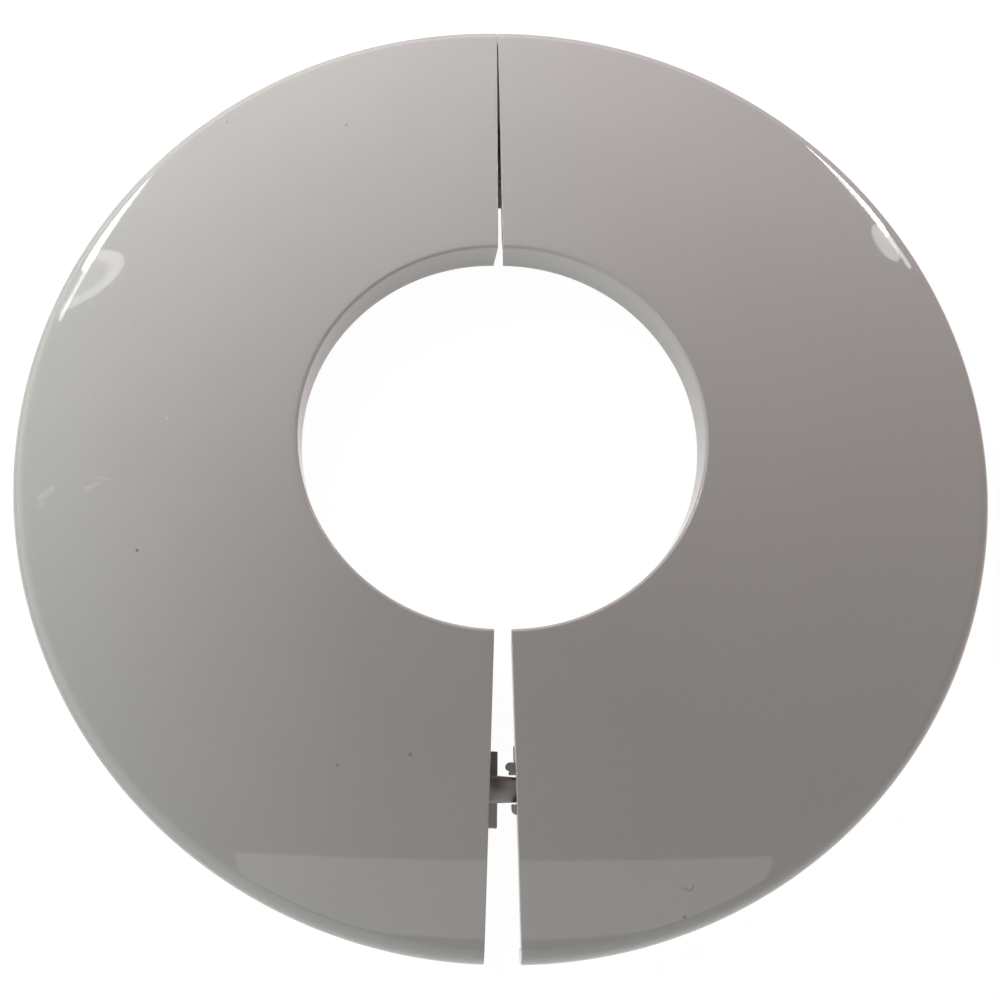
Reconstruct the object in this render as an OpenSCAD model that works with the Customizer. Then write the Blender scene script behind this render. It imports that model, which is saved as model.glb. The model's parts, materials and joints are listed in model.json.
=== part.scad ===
// Pipe rosette: a domed cover ring for the place where a pipe goes through a wall.
// It is two mouldings from one mould, each with a pin at one end and a clip at the other.
// The pipe runs along Z, the wall is the plane Z = 0, and the face looks along +Z.
// The upper snap is home; the halves have swung apart about it, so the lower one stands open.

/* [Rosette] */
// Diameter of the whole cover
outer_d = 125; // [110:1:180]
// Height of the hole's front edge above the wall
height = 8.8; // [8:0.1:12]
// How far the face falls from the hole's edge to the rim
face_drop = 3.9; // [2:0.1:4.2]
// Radius of the rounded rim
rim_round = 2.3; // [1.8:0.1:3]
// Thickness of the face, skirt and collar
wall = 1.5; // [1:0.1:1.7]

/* [Hole and collar] */
// Outside diameter of the pipe
pipe_d = 50; // [20:1:54]
// Clearance round the pipe, on the radius
pipe_clearance = 0.1; // [0.05:0.05:0.5]
// Length of the collar, from the hole's front edge to its back edge
collar_len = 5.8; // [4:0.1:7]
// Radius of the hole's rounded front edge
lip_round = 0.4; // [0.2:0.1:0.8]
// How far each end of the collar is set back at its back edge
collar_setback = 0.34; // [0:0.02:0.8]

/* [Halves] */
// Angle by which the halves stand open in the photographed position
open_angle = 1.63; // [0:0.01:1.63]
// Gap between the closed halves at the hole
seam_gap = 0.05; // [0.02:0.01:0.3]
// Angle by which the ends at the upper snap fall back towards the rim
seam_relief = 0.43; // [0.43:0.01:1.2]
// Angle by which the ends at the lower snap fall back towards the rim
free_relief = 0.92; // [0.4:0.01:1.5]

/* [Snap] */
// Distance of each snap from the middle of the rosette
snap_y = 43.35; // [40:0.05:46]
// Diameter of the pin at its root
pin_d = 3.1; // [2.2:0.1:3.3]
// Diameter of the pin near its tip
pin_tip_d = 2.6; // [1.6:0.1:2.7]
// Length of the pin's tapered end
pin_taper = 4; // [3.5:0.5:6]
// How far the pin reaches past the end of its half
pin_reach = 6.5; // [5:0.1:9]
// Height of the pin's axis above the wall
pin_z = 3.75; // [3.7:0.05:3.9]
// Clearance between the pin and what it goes into
pin_clearance = 0.1; // [0.08:0.01:0.3]
// Thickness of the web that carries the pin
web_t = 1.5; // [1:0.1:2]
// How far the web stands behind the end of its half
web_setback = 1.7; // [1.5:0.1:3]
// Width of the web and of the sill at its foot
web_w = 8.85; // [7:0.05:10]
// How far the sill reaches past the end of its half
sill_reach = 1.15; // [0.4:0.05:1.4]
// Height of the sill's lower and upper faces above the wall
sill_z = [0.3, 1.9];
// Thickness of the clip's fingers and of the plate across them
finger_t = 1.2; // [0.9:0.05:1.6]
// Length of the fingers behind the end of their half
finger_len = 7.5; // [6.5:0.1:10]
// How far the inner finger reaches past the end of its half
inner_reach = 1; // [0.8:0.1:1.4]
// How far the outer finger reaches past the end of its half
outer_reach = 0.36; // [0.2:0.02:1.2]
// Width of the plate across the fingers
plate_w = 7.8; // [6.5:0.1:9]

/* [Hidden] */
$fn = 180;
plastic = "gainsboro";
fine = 1440;      // steps round the large circle of the dome
over = 1;         // how far a cutter runs past what it cuts

outer_r = outer_d / 2;
bore_r = pipe_d / 2 + pipe_clearance;
collar_z = height - collar_len;

// The dome is part of a sphere through the hole's edge and the start of the rounded rim
rim_r = outer_r - rim_round;
dome_sum = (rim_r * rim_r - bore_r * bore_r) / face_drop;
dome_half = (dome_sum + face_drop) / 2;
dome_r = sqrt(bore_r * bore_r + dome_half * dome_half);
dome_cz = height - dome_half;

// The snap stands under the dome at its own distance from the middle
snap_under = dome_cz + sqrt(pow(dome_r - wall, 2) - pow(snap_y, 2));
finger_gap = pin_d + 2 * pin_clearance;
finger_z = sill_z[1] + 0.3;
finger_top = snap_under - 0.45;
plate_y = snap_y - 1.13;              // the plate reaches further towards the hole
tip_d = 0.95;                         // round end of the inner finger
tip_lift = 0.95;                      // how far that end is bent away from the pin
tip_root = 0.6;                       // where the bend starts, past the end of the half
far = 2 * outer_r;

// Height of the centre of a round edge that meets the dome smoothly at radius r
function edge_cz(r, edge) = dome_cz + sqrt(pow(dome_r - edge, 2) - r * r);
// Radius at which that round edge meets the dome
function edge_meet(r, edge) = dome_r * r / (dome_r - edge);

// Section of the space between radii r0 and r1, from the wall up to the dome lowered by t
module under_dome(r0, r1, t) {
    intersection() {
        translate([0, dome_cz]) circle(r = dome_r - t, $fn = fine);
        translate([r0, 0]) square([r1 - r0, 2 * height]);
    }
}

// Section of the cover without its cavity: dome, rounded rim and rounded hole edge
module outer_section() {
    lip_r = bore_r + lip_round;
    under_dome(edge_meet(lip_r, lip_round), edge_meet(rim_r, rim_round), 0);
    translate([lip_r, edge_cz(lip_r, lip_round)]) circle(r = lip_round, $fn = 48);
    translate([bore_r, 0]) square([2 * lip_round, edge_cz(lip_r, lip_round)]);
    translate([rim_r, edge_cz(rim_r, rim_round)]) circle(r = rim_round, $fn = 96);
    translate([rim_r - rim_round, 0]) square([2 * rim_round, edge_cz(rim_r, rim_round)]);
}

// Section of the cavity behind the face, between the collar and the skirt
module cavity_section() {
    round_in = rim_round - wall;
    difference() {
        union() {
            under_dome(bore_r + wall, edge_meet(rim_r, rim_round), wall);
            translate([rim_r, edge_cz(rim_r, rim_round)]) circle(r = round_in, $fn = 96);
            translate([bore_r + wall, 0]) square([outer_r - bore_r - 2 * wall, edge_cz(rim_r, rim_round)]);
        }
        translate([outer_r - wall, 0]) square([wall + over, 2 * height]);
    }
}

// Whole ring: face, skirt and collar
module ring() {
    rotate_extrude() difference() {
        outer_section();
        cavity_section();
        square([bore_r + wall, collar_z]);
    }
}

// Everything between the wall and the dome, to trim what stands on the underside of the face
module dome_body() {
    rotate_extrude() under_dome(0, rim_r, wall / 2);
}

// Outline of one half seen from the front, with its ends set back from the middle line
module half_plan(pin_relief, clip_relief) {
    run = far - bore_r;
    edge = -seam_gap / 2;
    polygon([
        [edge, -bore_r], [edge, bore_r],
        [edge - run * tan(clip_relief), far], [-far, far],
        [-far, -far], [edge - run * tan(pin_relief), -far]
    ]);
}

// How far the end of a half has fallen back at the snap
function snap_edge(relief) = -seam_gap / 2 - (snap_y - bore_r) * tan(relief);

// Wedge that sets one end of the collar back towards its back edge
module collar_wedge() {
    edge = -seam_gap / 2;
    translate([0, wall + 2 * over, 0]) rotate([90, 0, 0]) linear_extrude(wall + 3 * over)
        polygon([[edge, height], [edge - collar_setback, collar_z],
                 [edge - collar_setback, collar_z - over], [over, collar_z - over], [over, height]]);
}

// Web under the face with a sill at its foot, and the pin that stands on it; edge is the end's place
module pin_end(edge) {
    root = edge - web_setback;
    translate([root - web_t, -snap_y - web_w / 2, sill_z[0]]) cube([web_t, web_w, height]);
    translate([root - web_t, -snap_y - web_w / 2, sill_z[0]])
        cube([web_t + web_setback + sill_reach, web_w, sill_z[1] - sill_z[0]]);
    translate([root - web_t / 2, -snap_y, pin_z]) rotate([0, 90, 0]) pin(web_t / 2 + web_setback + pin_reach);
}

// Round pin of a given length along Z, tapered towards its rounded tip
module pin(len) {
    tip = len - pin_tip_d / 2;
    cylinder(d = pin_d, h = tip - pin_taper, $fn = 64);
    translate([0, 0, tip - pin_taper]) cylinder(d1 = pin_d, d2 = pin_tip_d, h = pin_taper, $fn = 64);
    translate([0, 0, tip]) sphere(d = pin_tip_d, $fn = 64);
}

// Two spring fingers that hold the mating pin, each with its part of the plate that stiffens them
module clip_end(edge) {
    inner_y = snap_y - finger_gap / 2;
    outer_y = snap_y + finger_gap / 2;
    back = edge - finger_len;
    difference() {
        union() {
            translate([back, inner_y - finger_t, finger_z]) cube([finger_len, finger_t, height]);
            translate([back, outer_y, finger_z]) cube([finger_len, finger_t, height]);
            translate([edge - finger_t, plate_y - plate_w / 2, finger_z]) cube([finger_t, plate_w, height]);
        }
        translate([back - over, inner_y, 0]) cube([finger_len + 2 * over, finger_gap, 2 * height]);
    }
    translate([0, 0, finger_z]) linear_extrude(finger_top - finger_z) {
        inner_tip(edge, inner_y);
        outer_tip(edge, outer_y);
    }
}

// End of the inner finger: it bends away from the pin to lead it in
module inner_tip(edge, y) {
    tip_x = edge + inner_reach - tip_d / 2;
    tip_y = y - tip_lift;
    translate([tip_x, tip_y]) circle(d = tip_d, $fn = 48);
    polygon([
        [edge - finger_t, y - finger_t], [tip_x, tip_y - tip_d / 2], [tip_x, tip_y + tip_d / 2],
        [edge + tip_root, y - tip_lift / 3], [edge + tip_root, y], [edge - finger_t, y]
    ]);
}

// End of the outer finger, with its free corner rounded
module outer_tip(edge, y) {
    corner = finger_t / 2;
    translate([edge - finger_t, y]) square([finger_t + outer_reach - corner, finger_t]);
    translate([edge - finger_t, y]) square([finger_t + outer_reach, corner]);
    translate([edge + outer_reach - corner, y + corner]) circle(r = corner, $fn = 48);
}

// One moulding, on the side of negative X: its pin is at negative Y and its clip at positive Y
module half(pin_relief, clip_relief) {
    difference() {
        intersection() {
            ring();
            translate([0, 0, -over]) linear_extrude(2 * height) half_plan(pin_relief, clip_relief);
        }
        translate([0, bore_r, 0]) collar_wedge();
        translate([0, -bore_r - wall - over, 0]) collar_wedge();
    }
    intersection() {
        union() {
            pin_end(snap_edge(pin_relief));
            clip_end(snap_edge(clip_relief));
        }
        dome_body();
    }
}

// Swings a half about the upper snap: side is -1 for the left half and 1 for the right one
module swung(side) {
    translate([0, snap_y, 0]) rotate([0, 0, side * open_angle / 2]) translate([0, -snap_y, 0]) children();
}

module left_half() {
    color(plastic) swung(-1) half(free_relief, seam_relief);
}

module right_half() {
    color(plastic) swung(1) rotate([0, 0, 180]) half(seam_relief, free_relief);
}

left_half();
right_half();
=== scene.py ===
import json
import math

import bmesh
import bpy
from mathutils import Matrix, Vector

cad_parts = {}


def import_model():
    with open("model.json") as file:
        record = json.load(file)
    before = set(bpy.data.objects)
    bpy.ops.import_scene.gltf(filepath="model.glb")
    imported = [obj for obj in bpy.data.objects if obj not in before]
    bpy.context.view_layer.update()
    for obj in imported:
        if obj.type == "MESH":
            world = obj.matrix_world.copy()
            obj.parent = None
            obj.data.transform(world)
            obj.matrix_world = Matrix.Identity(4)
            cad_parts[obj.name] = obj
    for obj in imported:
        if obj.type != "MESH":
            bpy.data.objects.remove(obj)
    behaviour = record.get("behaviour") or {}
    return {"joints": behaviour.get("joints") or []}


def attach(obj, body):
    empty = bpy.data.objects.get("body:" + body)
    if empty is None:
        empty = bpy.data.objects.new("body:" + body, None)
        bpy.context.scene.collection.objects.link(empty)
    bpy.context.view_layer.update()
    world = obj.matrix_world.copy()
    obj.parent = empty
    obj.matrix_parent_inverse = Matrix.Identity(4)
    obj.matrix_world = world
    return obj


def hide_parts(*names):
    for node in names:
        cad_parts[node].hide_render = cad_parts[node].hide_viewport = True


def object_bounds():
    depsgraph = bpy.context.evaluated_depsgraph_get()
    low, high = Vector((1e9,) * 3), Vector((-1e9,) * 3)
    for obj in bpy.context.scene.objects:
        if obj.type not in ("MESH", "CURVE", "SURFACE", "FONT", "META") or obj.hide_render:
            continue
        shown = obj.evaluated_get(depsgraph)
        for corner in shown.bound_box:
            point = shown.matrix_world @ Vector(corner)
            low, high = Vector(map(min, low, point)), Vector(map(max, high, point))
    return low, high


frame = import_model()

# A split pipe rosette of glossy warm grey plastic, lying on a white floor with its face up.
# Lengths are in millimetres until a mesh is finished, and every mesh is then in metres.
MM = 0.001
CAD_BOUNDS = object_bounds()
CAD_LOW, CAD_HIGH = CAD_BOUNDS

# Size of the cover
OUTER_R = 62.49         # a hair inside the solid's facets
HEIGHT = 8.8
FACE_DROP = 3.9
RIM_ROUND = 2.3
WALL = 1.5
BORE_R = 25.1
COLLAR_LEN = 5.8
LIP_ROUND = 0.4
COLLAR_SETBACK = 0.34
EDGE_ROUND = 0.16       # radius of the mould's small edges
END_ROUND = 0.13        # radius round the ends of a half

# How the halves meet
OPEN_ANGLE = math.radians(1.63)
SEAM_GAP = 0.05
SEAM_RELIEF = math.radians(0.43)
FREE_RELIEF = math.radians(0.92)
SWING_Y = frame["joints"][0]["pos_m"][1] / MM

# The snap
SNAP_Y = 43.35
PIN_D = 3.1
PIN_TIP_D = 2.6
PIN_TAPER = 4.0
PIN_REACH = 6.5
PIN_Z = 3.75
PIN_CLEARANCE = 0.1
WEB_T = 1.5
WEB_SETBACK = 1.7
WEB_W = 8.85
SILL_REACH = 1.15
SILL_Z = (0.3, 1.9)
FINGER_T = 1.2
FINGER_LEN = 7.5
INNER_REACH = 1.0
OUTER_REACH = 0.36
PLATE_W = 7.8
PLATE_SHIFT = 1.13
FINGER_Z = SILL_Z[1] + 0.3
FINGER_TIP_D = 0.95
FINGER_TIP_LIFT = 0.95   # how far the inner finger's end is bent away from the pin
FINGER_TIP_ROOT = 0.6    # where that bend starts
ROOT_Z = 6.4            # height inside the face at which what hangs from it starts

# Fineness of the meshes
STEPS_ROUND = 200
STEPS_FACE = 36

# Share of plain white background in the floor, beside its own shading, and how bright it is
FLOOR_SHARE = 0.9
FLOOR_WHITE = 1.08

# Where the floor behind the closed seam stays in its own shade
SEAM_SHADE_X = 3.0
SEAM_SHADE_Y = 35.6

# Colours of the plastic and of what lies on it
PLASTIC_PALE = (0.425, 0.405, 0.385)
PLASTIC_DARK = (0.412, 0.392, 0.372)
PLASTIC_GRAIN = (0.36, 0.335, 0.315)
DUST = (0.2, 0.18, 0.165)
DIRT = (0.07, 0.06, 0.055)
SCUFF = (0.75, 0.66, 0.6)

# The satin surfaces inside the cavity, darkened by painted shade: between these radii, and more than this far below the
# face.
# The sills' tops between two heights are paler, to make up for light that doesn't reach them here.
INNER_SIDE = (26.75, 60.9)
INNER_DEPTH = 1.0
INNER_SHADE_COLOUR = (0.35, 0.3, 0.285)
SILL_TOP = (1.7, 2.05)
SILL_COLOUR = (0.85, 0.76, 0.75)
SATIN = 0.45
SATIN_SHINE = 0.12
SHINE = 0.5

# Marks on the face, where the photograph shows them
SPECK_WIDTH = 0.26
# Each speck: place and strength
SPECKS = [
    ((-21.3, 45.0, 6.4), 0.5),
    ((-38.3, 46.1, 4.9), 0.4),
    ((-45.0, -15.7, 6.7), 0.75),
    ((-19.3, -40.9, 7.0), 0.35),
    ((-10.8, -39.6, 7.4), 0.5),
    ((20.7, -57.0, 4.9), 0.6),
]
HAIR_WIDTH = 0.2
HAIR_STRENGTH = 0.28
HAIR = [(20.82, -53.9, 5.3), (21.2, -54.15, 5.25), (21.6, -54.08, 5.24), (21.85, -53.7, 5.3)]
PALE_SPECK_WIDTH = 0.22
PALE_SPECK = (-42.6, 1.3, 7.3)
# Each scuff: start, end, width and strength
SCUFFS = [
    ((-58.3, -8.7, 5.2), (-56.9, -7.7, 5.4), 0.6, 0.75),
    ((-58.4, -9.9, 5.1), (-58.0, -9.4, 5.2), 0.6, 0.45),
    ((-52.3, -7.75, 6.07), (-50.9, -7.05, 6.26), 0.42, 0.75),
    ((-51.3, -6.2, 6.23), (-48.9, -6.7, 6.53), 0.3, 0.65),
]

# Light of the horizon, and how far up it reaches
HORIZON_COLOUR = (1.0, 0.55, 0.4, 1.0)
HORIZON_LIGHT = 1.19
HORIZON_BAND = 0.5

# The mirrored room: its brightness away from and towards the windows, and the lean from straight up,
# where the camera was, over which it grows
ROOM_COLOUR = (0.9, 1.0, 0.93, 1.0)
ROOM_LIGHT = (0.65, 3.4)
ROOM_LEAN = (0.15, 0.75)
WINDOW_SIDE = (-0.55, 0.835, 0.0)

# The camera, as fitted to the photograph's outlines
CAMERA_PLACE = (-7.5, -45.1, 150.1)
CAMERA_TURN = (0.3171, 0.0022, 0.0107)
FOCAL_LENGTH = 1.1782   # in widths of the picture
SHIFT = (0.0625, -0.0823)


def dome():
    """Radius of the face's sphere and the height of its centre."""
    rim_r = OUTER_R - RIM_ROUND
    total = (rim_r ** 2 - BORE_R ** 2) / FACE_DROP
    above = (total + FACE_DROP) / 2
    return math.hypot(BORE_R, above), HEIGHT - above


DOME_R, DOME_Z = dome()
COLLAR_Z = HEIGHT - COLLAR_LEN
RIM_R = OUTER_R - RIM_ROUND
LIP_R = BORE_R + LIP_ROUND


def edge_z(r, edge):
    """Height of the centre of a round edge that meets the dome smoothly at radius r."""
    return DOME_Z + math.sqrt((DOME_R - edge) ** 2 - r * r)


def arc(centre, radius, start, end, steps):
    """Points on an arc, with its angles in degrees."""
    points = []
    for i in range(steps + 1):
        a = math.radians(start + (end - start) * i / steps)
        points.append((centre[0] + radius * math.cos(a), centre[1] + radius * math.sin(a)))
    return points


def section():
    """Closed outline of the cover's wall as (radius, height): up the bore, over the face, down and back."""
    lip_z = edge_z(LIP_R, LIP_ROUND)
    rim_z = edge_z(RIM_R, RIM_ROUND)
    lip_turn = math.degrees(math.atan2(lip_z - DOME_Z, LIP_R))
    rim_turn = math.degrees(math.atan2(rim_z - DOME_Z, RIM_R))
    e = EDGE_ROUND
    under_r = DOME_R - WALL
    inner_turn = math.degrees(math.acos((BORE_R + WALL + e) / under_r))
    inner_z = DOME_Z + math.sqrt(under_r ** 2 - (BORE_R + WALL + e) ** 2)
    points = arc((BORE_R + e, COLLAR_Z + e), e, 270, 180, 4)
    points += [(BORE_R, COLLAR_Z + (lip_z - COLLAR_Z) * i / 6) for i in range(1, 6)]
    points += arc((LIP_R, lip_z), LIP_ROUND, 180, lip_turn, 8)
    points += arc((0, DOME_Z), DOME_R, lip_turn, rim_turn, STEPS_FACE)[1:]
    points += arc((RIM_R, rim_z), RIM_ROUND, rim_turn, 0, 20)[1:]
    points += arc((OUTER_R - e, e), e, 0, -90, 4)
    points += arc((OUTER_R - WALL + e, e), e, 270, 180, 4)
    points += arc((RIM_R, rim_z), RIM_ROUND - WALL, 0, rim_turn, 8)
    points += arc((0, DOME_Z), under_r, rim_turn, inner_turn, STEPS_FACE)[1:]
    points += arc((BORE_R + WALL + e, inner_z - e), e, 90, 180, 4)[1:]
    points += [(BORE_R + WALL, inner_z - e - (inner_z - COLLAR_Z - 2 * e) * i / 5) for i in range(1, 5)]
    points += arc((BORE_R + WALL - e, COLLAR_Z + e), e, 0, -90, 4)
    return points


def normals(points):
    """Outward direction at each point of a closed outline that has its material on the right."""
    result = []
    count = len(points)
    for i in range(count):
        a, b = points[i - 1], points[(i + 1) % count]
        along = Vector((b[0] - a[0], b[1] - a[1])).normalized()
        result.append((-along.y, along.x))
    return result


def end_x(r, z, relief, back):
    """X of a half's end at radius r, a distance back from the end's own plane."""
    setback = COLLAR_SETBACK * (HEIGHT - z) / COLLAR_LEN if r < BORE_R + WALL + 0.05 else 0.0
    x = -SEAM_GAP / 2
    for _ in range(4):
        x = -SEAM_GAP / 2 - (math.sqrt(r * r - x * x) - BORE_R) * math.tan(relief)
    return x - setback - back


def end_angle(r, z, relief, back):
    """Angle of a half's end at radius r, measured from the negative X axis."""
    return math.acos(min(1.0, -end_x(r, z, relief, back) / r))


def shell_mesh(pin_relief, clip_relief):
    """Half of the cover on the side of negative X, its pin end at negative Y, as a closed grid."""
    points = section()
    outward = normals(points)
    columns = []
    turns = 5
    for i in range(turns):
        a = math.pi / 2 * (1 - i / turns)
        columns.append(("pin", END_ROUND * (1 - math.sin(a)), END_ROUND * (1 - math.cos(a))))
    for i in range(STEPS_ROUND + 1):
        columns.append((i / STEPS_ROUND, END_ROUND, 0.0))
    for i in range(turns - 1, -1, -1):
        a = math.pi / 2 * (1 - i / turns)
        columns.append(("clip", END_ROUND * (1 - math.sin(a)), END_ROUND * (1 - math.cos(a))))
    bm = bmesh.new()
    rows = []
    for place, back, inset in columns:
        row = []
        for (r, z), (nr, nz) in zip(points, outward):
            r, z = r - nr * inset, z - nz * inset
            low = -end_angle(r, z, pin_relief, back)
            high = end_angle(r, z, clip_relief, back)
            a = low if place == "pin" else high if place == "clip" else low + (high - low) * place
            row.append(bm.verts.new((-r * math.cos(a), r * math.sin(a), z)))
        rows.append(row)
    count = len(points)
    for left, right in zip(rows, rows[1:]):
        for j in range(count):
            k = (j + 1) % count
            bm.faces.new((left[j], left[k], right[k], right[j]))
    bm.faces.new(rows[0])
    bm.faces.new(reversed(rows[-1]))
    bmesh.ops.recalc_face_normals(bm, faces=bm.faces)
    return bm


def prism(outline, low, high, round_by=EDGE_ROUND):
    """Upright solid from an outline in X and Y, with its edges rounded."""
    bm = bmesh.new()
    base = bm.faces.new([bm.verts.new((x, y, low)) for x, y in outline])
    top = bmesh.ops.extrude_face_region(bm, geom=[base])
    bmesh.ops.translate(bm, verts=[v for v in top["geom"] if isinstance(v, bmesh.types.BMVert)], vec=(0, 0, high - low))
    bmesh.ops.recalc_face_normals(bm, faces=bm.faces)
    sharp = [e for e in bm.edges if e.calc_face_angle(0) > 0.6]
    bmesh.ops.bevel(bm, geom=sharp, offset=round_by, segments=3, profile=0.5, affect="EDGES", clamp_overlap=True)
    return bm


def block(low, high, round_by=EDGE_ROUND):
    """Box between two corners, with its edges rounded."""
    outline = [(low[0], low[1]), (high[0], low[1]), (high[0], high[1]), (low[0], high[1])]
    return prism(outline, low[2], high[2], round_by)


def snap_edge(relief):
    """X of a half's end at the snap."""
    return -SEAM_GAP / 2 - (SNAP_Y - BORE_R) * math.tan(relief)


def pin_solid(start, length):
    """Round pin along X, tapered towards its rounded tip."""
    bm = bmesh.new()
    tip_r = PIN_TIP_D / 2
    profile = [(0.0, PIN_D / 2), (length - tip_r - PIN_TAPER, PIN_D / 2)]
    profile += [(length - tip_r + tip_r * math.sin(a), tip_r * math.cos(a))
                for a in [math.pi / 2 * i / 8 for i in range(9)]]
    sides = 48
    rings = []
    for x, r in profile[:-1]:
        rings.append([bm.verts.new((start + x, -SNAP_Y + r * math.cos(t), PIN_Z + r * math.sin(t)))
                      for t in [2 * math.pi * k / sides for k in range(sides)]])
    tip = bm.verts.new((start + profile[-1][0], -SNAP_Y, PIN_Z))
    for a, b in zip(rings, rings[1:]):
        for k in range(sides):
            n = (k + 1) % sides
            bm.faces.new((a[k], a[n], b[n], b[k]))
    for k in range(sides):
        bm.faces.new((rings[-1][k], rings[-1][(k + 1) % sides], tip))
    bm.faces.new(reversed(rings[0]))
    bmesh.ops.recalc_face_normals(bm, faces=bm.faces)
    return bm


def pin_end(relief):
    """Solids at the pin end: the web, the sill at its foot, and the pin."""
    root = snap_edge(relief) - WEB_SETBACK
    y0, y1 = -SNAP_Y - WEB_W / 2, -SNAP_Y + WEB_W / 2
    sill_x = snap_edge(relief) + SILL_REACH
    return [
        block((root - WEB_T, y0, SILL_Z[0]), (root, y1, ROOT_Z)),
        block((root - WEB_T, y0, SILL_Z[0]), (sill_x, y1, SILL_Z[1])),
        pin_solid(root - WEB_T / 2, WEB_T / 2 + WEB_SETBACK + PIN_REACH),
    ]


def clip_end(relief):
    """Solids at the clip end: two fingers, each with its part of the plate that stiffens them."""
    edge = snap_edge(relief)
    half_gap = PIN_D / 2 + PIN_CLEARANCE
    inner_y, outer_y = SNAP_Y - half_gap, SNAP_Y + half_gap
    back = edge - FINGER_LEN
    plate_low = SNAP_Y - PLATE_SHIFT - PLATE_W / 2
    plate_high = plate_low + PLATE_W
    under = DOME_Z + math.sqrt((DOME_R - WALL) ** 2 - SNAP_Y ** 2)
    tip_top = under - 0.45
    tip_y = inner_y - FINGER_TIP_LIFT
    tip_x = edge + INNER_REACH - FINGER_TIP_D / 2
    tip = [(tip_x + FINGER_TIP_D / 2 * math.cos(a), tip_y + FINGER_TIP_D / 2 * math.sin(a))
           for a in [math.radians(-90 + 180 * i / 12) for i in range(13)]]
    inner = [(edge - FINGER_T, inner_y - FINGER_T)] + tip
    inner += [(edge + FINGER_TIP_ROOT, inner_y - FINGER_TIP_LIFT / 3), (edge + FINGER_TIP_ROOT, inner_y)]
    inner += [(edge - FINGER_T, inner_y)]
    corner = FINGER_T / 2
    round_corner = [(edge + OUTER_REACH - corner + corner * math.cos(a), outer_y + corner + corner * math.sin(a))
                    for a in [math.radians(90 * i / 8) for i in range(9)]]
    outer = [(edge - FINGER_T, outer_y), (edge + OUTER_REACH, outer_y)] + round_corner
    outer += [(edge - FINGER_T, outer_y + FINGER_T)]
    return [
        block((back, inner_y - FINGER_T, FINGER_Z), (edge - 0.02, inner_y, ROOT_Z)),
        block((back, outer_y, FINGER_Z), (edge - 0.02, outer_y + FINGER_T, ROOT_Z)),
        block((edge - FINGER_T, plate_low, FINGER_Z), (edge - 0.01, inner_y - 0.01, ROOT_Z)),
        block((edge - FINGER_T, outer_y + 0.01, FINGER_Z), (edge - 0.01, plate_high, ROOT_Z)),
        prism(inner, FINGER_Z, tip_top, 0.1),
        prism(outer, FINGER_Z, tip_top, 0.1),
    ]


def as_object(bm, name):
    """A mesh object in the scene from a bmesh."""
    mesh = bpy.data.meshes.new(name)
    bm.to_mesh(mesh)
    bm.free()
    obj = bpy.data.objects.new(name, mesh)
    bpy.context.scene.collection.objects.link(obj)
    return obj


def apply_modifiers(obj):
    """Replaces an object's mesh by the one that its modifiers give."""
    graph = bpy.context.evaluated_depsgraph_get()
    mesh = bpy.data.meshes.new_from_object(obj.evaluated_get(graph))
    obj.modifiers.clear()
    obj.data = mesh


def moulding(name, pin_relief, clip_relief, turn, side):
    """One half of the rosette at its place: turned by turn, then swung about the upper snap."""
    obj = as_object(shell_mesh(pin_relief, clip_relief), name)
    for i, bm in enumerate(pin_end(pin_relief) + clip_end(clip_relief)):
        tool = as_object(bm, f"{name}_tool_{i}")
        union = obj.modifiers.new("union", "BOOLEAN")
        union.operation = "UNION"
        union.solver = "EXACT"
        union.object = tool
        apply_modifiers(obj)
        bpy.data.objects.remove(tool)
    swing = Matrix.Translation((0, SWING_Y, 0)) @ Matrix.Rotation(side * OPEN_ANGLE / 2, 4, "Z")
    place = Matrix.Scale(MM, 4) @ swing @ Matrix.Translation((0, -SWING_Y, 0)) @ Matrix.Rotation(turn, 4, "Z")
    obj.data.transform(place)
    obj.data.shade_smooth()
    shade = obj.modifiers.new("shade", "WEIGHTED_NORMAL")
    shade.keep_sharp = True
    shade.weight = 80
    return obj


def new_material(name):
    """An empty node material and its node tree."""
    material = bpy.data.materials.new(name)
    material.use_nodes = True
    tree = material.node_tree
    tree.nodes.clear()
    return material, tree


def math_node(tree, operation, *values):
    """Output of a new Math node, whose inputs are numbers or other nodes' outputs."""
    node = tree.nodes.new("ShaderNodeMath")
    node.operation = operation
    for socket, value in zip(node.inputs, values):
        if isinstance(value, (int, float)):
            socket.default_value = value
        else:
            tree.links.new(value, socket)
    return node.outputs[0]


def vector_node(tree, operation, *values, output="Vector"):
    """Output of a new Vector Math node, whose inputs are vectors or other nodes' outputs."""
    node = tree.nodes.new("ShaderNodeVectorMath")
    node.operation = operation
    for socket, value in zip(node.inputs, values):
        if isinstance(value, bpy.types.NodeSocket):
            tree.links.new(value, socket)
        else:
            socket.default_value = value
    return node.outputs[output]


def noise(tree, place, per_metre, detail=2.0, roughness=0.5):
    """Noise between 0 and 1 with a given number of features in a metre."""
    node = tree.nodes.new("ShaderNodeTexNoise")
    node.inputs["Scale"].default_value = per_metre
    node.inputs["Detail"].default_value = detail
    node.inputs["Roughness"].default_value = roughness
    tree.links.new(place, node.inputs["Vector"])
    return node.outputs[0]


def remap(tree, value, from_range, to_range, smooth=False):
    """Value carried over from one range to another, and held inside it."""
    node = tree.nodes.new("ShaderNodeMapRange")
    node.interpolation_type = "SMOOTHSTEP" if smooth else "LINEAR"
    tree.links.new(value, node.inputs["Value"])
    for name, number in zip(("From Min", "From Max", "To Min", "To Max"), from_range + to_range):
        node.inputs[name].default_value = number
    return node.outputs[0]


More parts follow.
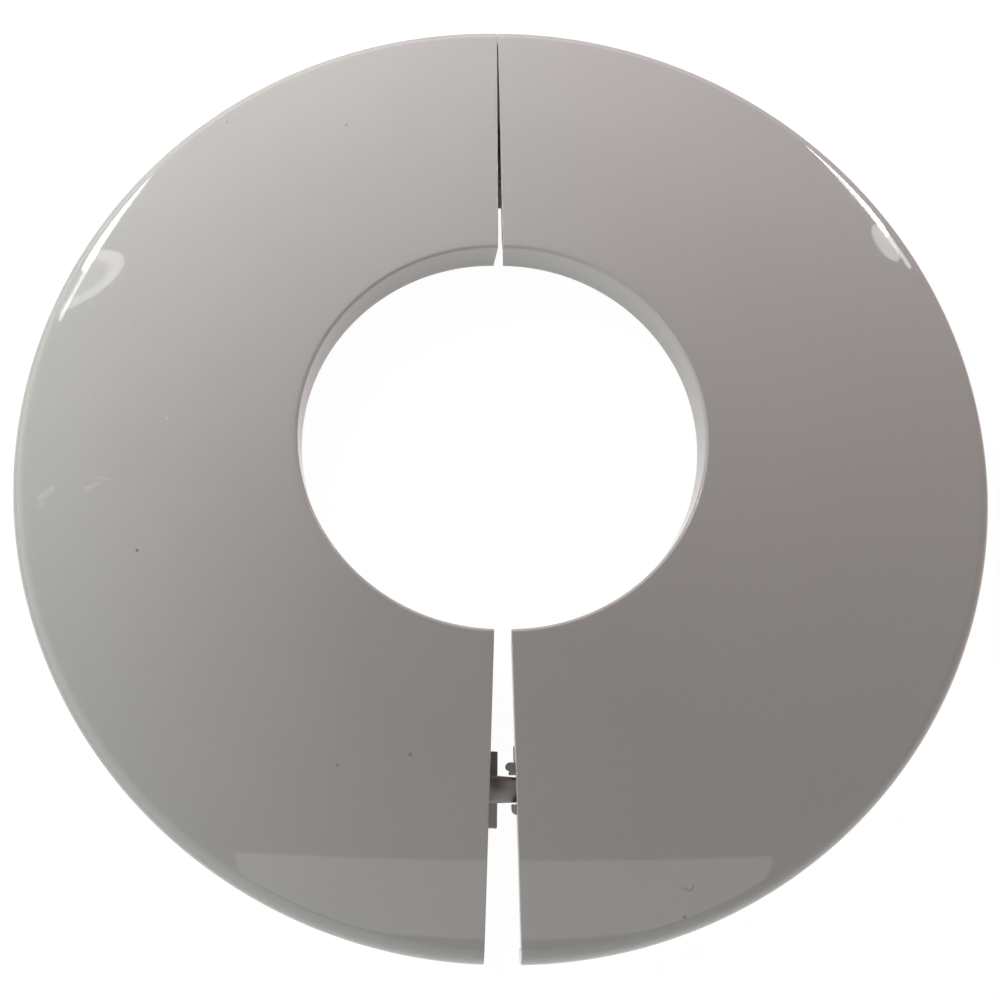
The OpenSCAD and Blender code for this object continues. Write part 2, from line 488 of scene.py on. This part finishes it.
def mark(tree, place, start, end, width):
    """Mask of a small mark: 1 along the line from start to end, and 0 beyond its width."""
    start, end = Vector(start) * MM, Vector(end) * MM
    away = vector_node(tree, "SUBTRACT", place, start)
    along = end - start
    if along.length > 0:
        share = vector_node(tree, "DOT_PRODUCT", away, along / along.length_squared, output="Value")
        share = math_node(tree, "MINIMUM", math_node(tree, "MAXIMUM", share, 0.0), 1.0)
        step = tree.nodes.new("ShaderNodeVectorMath")
        step.operation = "SCALE"
        step.inputs[0].default_value = along
        tree.links.new(share, step.inputs["Scale"])
        away = vector_node(tree, "SUBTRACT", away, step.outputs[0])
    distance = vector_node(tree, "LENGTH", away, output="Value")
    return remap(tree, distance, (0.4 * width * MM, width * MM), (1.0, 0.0), smooth=True)


def strongest(tree, masks):
    """The largest of several masks."""
    result = masks[0]
    for mask in masks[1:]:
        result = math_node(tree, "MAXIMUM", result, mask)
    return result


def mix_colour(tree, share, first, second):
    """Colour between two, each a colour or another node's output."""
    node = tree.nodes.new("ShaderNodeMix")
    node.data_type = "RGBA"
    tree.links.new(share, node.inputs[0])
    for socket, value in ((node.inputs[6], first), (node.inputs[7], second)):
        if isinstance(value, bpy.types.NodeSocket):
            tree.links.new(value, socket)
        else:
            socket.default_value = (*value, 1.0)
    return node.outputs[2]


def bump(tree, height, depth, before=None):
    """Normal disturbed by a height between 0 and 1, times a depth in millimetres."""
    node = tree.nodes.new("ShaderNodeBump")
    node.inputs["Distance"].default_value = depth * MM
    tree.links.new(height, node.inputs["Height"])
    if before is not None:
        tree.links.new(before, node.inputs["Normal"])
    return node.outputs[0]


def cover_plastic():
    """Glossy warm grey moulded plastic, with faint flow, dust, a few dark specks and two pale scuffs, painted shade on
    the satin surfaces inside the cavity and painted light on the sills' tops.
    """
    material, tree = new_material("cover_plastic")
    out = tree.nodes.new("ShaderNodeOutputMaterial")
    shader = tree.nodes.new("ShaderNodeBsdfPrincipled")
    place = tree.nodes.new("ShaderNodeTexCoord").outputs["Object"]

    flow = remap(tree, noise(tree, place, 45.0, 3.0), (0.3, 0.7), (0.0, 1.0))
    colour = mix_colour(tree, flow, PLASTIC_DARK, PLASTIC_PALE)
    grain = remap(tree, noise(tree, place, 1400.0, 2.0), (0.3, 0.7), (0.0, 0.12))
    colour = mix_colour(tree, grain, colour, PLASTIC_GRAIN)

    dust_place = tree.nodes.new("ShaderNodeTexVoronoi")
    dust_place.inputs["Scale"].default_value = 75.0
    tree.links.new(place, dust_place.inputs["Vector"])
    near = remap(tree, dust_place.outputs["Distance"], (0.006, 0.013), (1.0, 0.0), smooth=True)
    chosen = tree.nodes.new("ShaderNodeSeparateColor")
    tree.links.new(dust_place.outputs["Color"], chosen.inputs[0])
    some = math_node(tree, "GREATER_THAN", chosen.outputs[0], 0.6)
    dust = math_node(tree, "MULTIPLY", math_node(tree, "MULTIPLY", near, some), 0.35)
    colour = mix_colour(tree, dust, colour, DUST)

    specks = strongest(tree, [
        math_node(tree, "MULTIPLY", mark(tree, place, at, at, SPECK_WIDTH), strength)
        for at, strength in SPECKS
    ])
    hair = strongest(tree, [mark(tree, place, a, b, HAIR_WIDTH) for a, b in zip(HAIR, HAIR[1:])])
    hair = math_node(tree, "MULTIPLY", hair, HAIR_STRENGTH)
    dirt = math_node(tree, "MAXIMUM", specks, hair)
    colour = mix_colour(tree, dirt, colour, DIRT)

    scuffs = strongest(tree, [
        math_node(tree, "MULTIPLY", mark(tree, place, start, end, width), strength)
        for start, end, width, strength in SCUFFS
    ])
    streaks = remap(tree, noise(tree, place, 600.0, 2.0), (0.3, 0.6), (0.35, 1.0))
    scuffs = math_node(tree, "MULTIPLY", scuffs, streaks)
    scuffs = math_node(tree, "MAXIMUM", scuffs, mark(tree, place, PALE_SPECK, PALE_SPECK, PALE_SPECK_WIDTH))
    colour = mix_colour(tree, math_node(tree, "MULTIPLY", scuffs, 0.3), colour, SCUFF)
    axes = tree.nodes.new("ShaderNodeSeparateXYZ")
    tree.links.new(place, axes.inputs[0])
    height = axes.outputs["Z"]
    radius = vector_node(tree, "LENGTH", vector_node(tree, "MULTIPLY", place, (1.0, 1.0, 0.0)), output="Value")
    rise = math_node(tree, "SUBTRACT", (DOME_R * MM) ** 2, math_node(tree, "MULTIPLY", radius, radius))
    face_height = math_node(tree, "ADD", math_node(tree, "SQRT", rise), DOME_Z * MM)
    depth = math_node(tree, "SUBTRACT", face_height, height)
    # mask of the surfaces inside the cavity, used for their satin finish and for painted shade
    inner = math_node(tree, "MULTIPLY",
                      math_node(tree, "GREATER_THAN", radius, INNER_SIDE[0] * MM),
                      math_node(tree, "LESS_THAN", radius, INNER_SIDE[1] * MM))
    inner = math_node(tree, "MULTIPLY", inner, math_node(tree, "GREATER_THAN", depth, INNER_DEPTH * MM))
    # painted shade: surfaces inside the cavity, more than INNER_DEPTH below the face, get a darker colour
    colour = mix_colour(tree, inner, colour, INNER_SHADE_COLOUR)
    sill = math_node(tree, "MULTIPLY",
                     math_node(tree, "GREATER_THAN", height, SILL_TOP[0] * MM),
                     math_node(tree, "LESS_THAN", height, SILL_TOP[1] * MM))
    colour = mix_colour(tree, math_node(tree, "MULTIPLY", inner, sill), colour, SILL_COLOUR)
    tree.links.new(colour, shader.inputs["Base Color"])

    gloss = remap(tree, noise(tree, place, 130.0, 3.0), (0.3, 0.7), (0.02, 0.04))
    gloss = math_node(tree, "ADD", gloss, math_node(tree, "MULTIPLY", scuffs, 0.3))
    satin = math_node(tree, "MULTIPLY", inner, SATIN)
    tree.links.new(math_node(tree, "ADD", gloss, satin), shader.inputs["Roughness"])
    tree.links.new(remap(tree, inner, (0.0, 1.0), (SHINE, SATIN_SHINE)), shader.inputs["Specular IOR Level"])

    waves = bump(tree, noise(tree, place, 60.0, 1.0), 0.0025)
    skin = bump(tree, noise(tree, place, 900.0, 2.0), 0.0006, waves)
    tree.links.new(bump(tree, scuffs, 0.01, skin), shader.inputs["Normal"])
    shader.inputs["IOR"].default_value = 1.5
    tree.links.new(shader.outputs["BSDF"], out.inputs["Surface"])
    return material


def floor():
    """Pale floor, almost white to the camera, that keeps a faint shadow and stays dark behind the closed seam."""
    bm = bmesh.new()
    bmesh.ops.create_grid(bm, x_segments=1, y_segments=1, size=3000 * MM)
    obj = as_object(bm, "floor")
    material, tree = new_material("floor_white")
    out = tree.nodes.new("ShaderNodeOutputMaterial")
    mix = tree.nodes.new("ShaderNodeMixShader")
    diffuse = tree.nodes.new("ShaderNodeBsdfDiffuse")
    white = tree.nodes.new("ShaderNodeEmission")
    path = tree.nodes.new("ShaderNodeLightPath")
    place = tree.nodes.new("ShaderNodeTexCoord")
    axes = tree.nodes.new("ShaderNodeSeparateXYZ")
    diffuse.inputs["Color"].default_value = (0.9, 0.9, 0.9, 1.0)
    tree.links.new(place.outputs["Object"], axes.inputs[0])
    across = math_node(tree, "LESS_THAN", math_node(tree, "ABSOLUTE", axes.outputs["X"]), SEAM_SHADE_X * MM)
    above = math_node(tree, "GREATER_THAN", axes.outputs["Y"], SEAM_SHADE_Y * MM)
    below = math_node(tree, "LESS_THAN", axes.outputs["Y"], OUTER_R * MM)
    seam = math_node(tree, "MULTIPLY", across, math_node(tree, "MULTIPLY", above, below))
    seen = math_node(tree, "MAXIMUM", path.outputs["Is Camera Ray"], path.outputs["Is Transmission Ray"])
    seen = math_node(tree, "MAXIMUM", seen, path.outputs["Is Glossy Ray"])
    seen = math_node(tree, "MULTIPLY", seen, FLOOR_SHARE)
    white.inputs["Strength"].default_value = FLOOR_WHITE
    share = math_node(tree, "MULTIPLY", seen, math_node(tree, "SUBTRACT", 1.0, seam))
    tree.links.new(share, mix.inputs["Fac"])
    tree.links.new(diffuse.outputs[0], mix.inputs[1])
    tree.links.new(white.outputs[0], mix.inputs[2])
    tree.links.new(mix.outputs[0], out.inputs["Surface"])
    obj.data.materials.append(material)
    return obj


def area_light(name, place, target, size, power, colour=(1.0, 1.0, 1.0), mirrored=True):
    """Area light at a place, aimed at a target, with sizes in millimetres; plastic mirrors it or not."""
    data = bpy.data.lights.new(name, "AREA")
    data.shape = "RECTANGLE"
    data.size, data.size_y = size[0] * MM, size[1] * MM
    data.energy = power
    data.color = colour
    obj = bpy.data.objects.new(name, data)
    obj.location = Vector(place) * MM
    aim = Vector(target) * MM - obj.location
    obj.rotation_euler = aim.to_track_quat("-Z", "Y").to_euler()
    obj.visible_glossy = mirrored
    bpy.context.scene.collection.objects.link(obj)
    return obj


def round_glow(light, roll, inner):
    """Makes a light a rolled ellipse whose border glows fully and whose middle glows by the share inner."""
    light.data.shape = "ELLIPSE"
    light.rotation_euler.rotate_axis("Z", math.radians(roll))
    light.data.use_nodes = True
    tree = light.data.node_tree
    emission = tree.nodes["Emission"]
    spread = tree.nodes.new("ShaderNodeNewGeometry").outputs["Parametric"]
    away = vector_node(tree, "LENGTH", vector_node(tree, "SUBTRACT", spread, (0.5, 0.5, 0.0)), output="Value")
    tree.links.new(remap(tree, away, (0.28, 0.38), (inner, 1.0), smooth=True), emission.inputs["Strength"])


def place_from(azimuth, elevation, distance):
    """Place at a direction in degrees and a distance in millimetres from the origin."""
    a, e = math.radians(azimuth), math.radians(elevation)
    return (distance * math.cos(e) * math.cos(a), distance * math.cos(e) * math.sin(a), distance * math.sin(e))


def lights():
    """Soft lamps behind the rosette, a low one before it, and the bright panes that its rim mirrors."""
    centre = (0.0, 0.0, 0.0)
    soft = (80, 80)
    area_light("key", place_from(120, 35, 200), centre, soft, 0.189, (0.97, 0.96, 1.0), mirrored=False)
    area_light("left", place_from(180, 20, 200), centre, soft, 0.122, (0.84, 0.99, 1.0), mirrored=False)
    area_light("right", place_from(60, 20, 200), centre, soft, 0.044, (1.0, 0.6, 0.96), mirrored=False)
    area_light("front", place_from(270, 8, 400), centre, (200, 200), 1.03, (0.76, 0.95, 1.0), mirrored=False)
    area_light("left_pane", (-277.3, 295.4, 290.4), (-182.2, 264.4, 290.4), (96, 68.8), 0.31)
    area_light("left_pane_end", (-299, 228.9, 322.2), (-203.9, 197.8, 322.2), (42, 6.4), 0.007)
    area_light("left_pane_edge", (-253.9, 367.2, 295), (-158.8, 336.2, 295), (55, 66), 0.0114)
    area_light("right_pane", (269.6, 299.2, 232), (179, 257, 232), (88, 90), 0.373)
    area_light("right_pane_end", (294.1, 246.7, 272), (203.5, 204.4, 272), (28, 10), 0.006)
    hook = area_light("left_glow", (-295, 241.2, 320), (-200, 210.2, 320), (116, 42), 0.05)
    round_glow(hook, -45, 0.35)
    patch = area_light("right_glow", (289.1, 257.6, 282), (198.5, 215.3, 282), (32, 20), 0.0078)
    round_glow(patch, 0, 1.0)
    area_light("ceiling_strip", (30, -241, 500), (30, -241, 0), (460, 66), 0.1)


def world():
    """Surroundings: a warm horizon that lights the rosette, a pale room that it mirrors, and white to the camera."""
    surroundings = bpy.data.worlds.new("soft_room")
    surroundings.use_nodes = True
    tree = surroundings.node_tree
    way = tree.nodes.new("ShaderNodeTexCoord").outputs["Generated"]
    axes = tree.nodes.new("ShaderNodeSeparateXYZ")
    tree.links.new(way, axes.inputs[0])

    horizon = tree.nodes["Background"]
    horizon.inputs["Color"].default_value = HORIZON_COLOUR
    height = math_node(tree, "ABSOLUTE", axes.outputs["Z"])
    tree.links.new(remap(tree, height, (0.0, HORIZON_BAND), (HORIZON_LIGHT, 0.0)), horizon.inputs["Strength"])

    room = tree.nodes.new("ShaderNodeBackground")
    room.inputs["Color"].default_value = ROOM_COLOUR
    flat = vector_node(tree, "MULTIPLY", way, (1.0, 1.0, 0.0))
    lean = remap(tree, vector_node(tree, "LENGTH", flat, output="Value"), ROOM_LEAN, (0.0, 1.0))
    side = vector_node(tree, "DOT_PRODUCT", vector_node(tree, "NORMALIZE", flat), WINDOW_SIDE, output="Value")
    strength = remap(tree, side, (-1.0, 1.0), ROOM_LIGHT)
    tree.links.new(math_node(tree, "MULTIPLY", strength, lean), room.inputs["Strength"])

    white = tree.nodes.new("ShaderNodeBackground")
    white.inputs["Color"].default_value = (1.0, 1.0, 1.0, 1.0)
    path = tree.nodes.new("ShaderNodeLightPath")
    seen = math_node(tree, "MAXIMUM", path.outputs["Is Camera Ray"], path.outputs["Is Transmission Ray"])
    mirrored = tree.nodes.new("ShaderNodeMixShader")
    tree.links.new(path.outputs["Is Glossy Ray"], mirrored.inputs["Fac"])
    tree.links.new(horizon.outputs[0], mirrored.inputs[1])
    tree.links.new(room.outputs[0], mirrored.inputs[2])
    direct = tree.nodes.new("ShaderNodeMixShader")
    tree.links.new(seen, direct.inputs["Fac"])
    tree.links.new(mirrored.outputs[0], direct.inputs[1])
    tree.links.new(white.outputs[0], direct.inputs[2])
    tree.links.new(direct.outputs[0], tree.nodes["World Output"].inputs["Surface"])
    bpy.context.scene.world = surroundings


def camera():
    """Camera at the photograph's place, with the shift of its framing."""
    data = bpy.data.cameras.new("camera")
    data.sensor_width = 36.0
    data.lens = 36.0 * FOCAL_LENGTH
    data.shift_x, data.shift_y = SHIFT
    data.clip_start = 0.005
    obj = bpy.data.objects.new("camera", data)
    turn = Vector(CAMERA_TURN)
    rotation = Matrix.Rotation(turn.length, 4, turn.normalized())
    obj.matrix_world = Matrix.Translation(Vector(CAMERA_PLACE) * MM) @ rotation
    bpy.context.scene.collection.objects.link(obj)
    bpy.context.scene.camera = obj
    return obj


plastic = cover_plastic()
halves = {
    "left": moulding("left_moulding", FREE_RELIEF, SEAM_RELIEF, 0.0, -1),
    "right": moulding("right_moulding", SEAM_RELIEF, FREE_RELIEF, math.pi, 1),
}
for body, piece in halves.items():
    piece.data.materials.append(plastic)
    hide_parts(f"{body}_half")
    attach(piece, body)

floor()
world()
camera()
lights()
bpy.context.scene.view_settings.view_transform = "Standard"
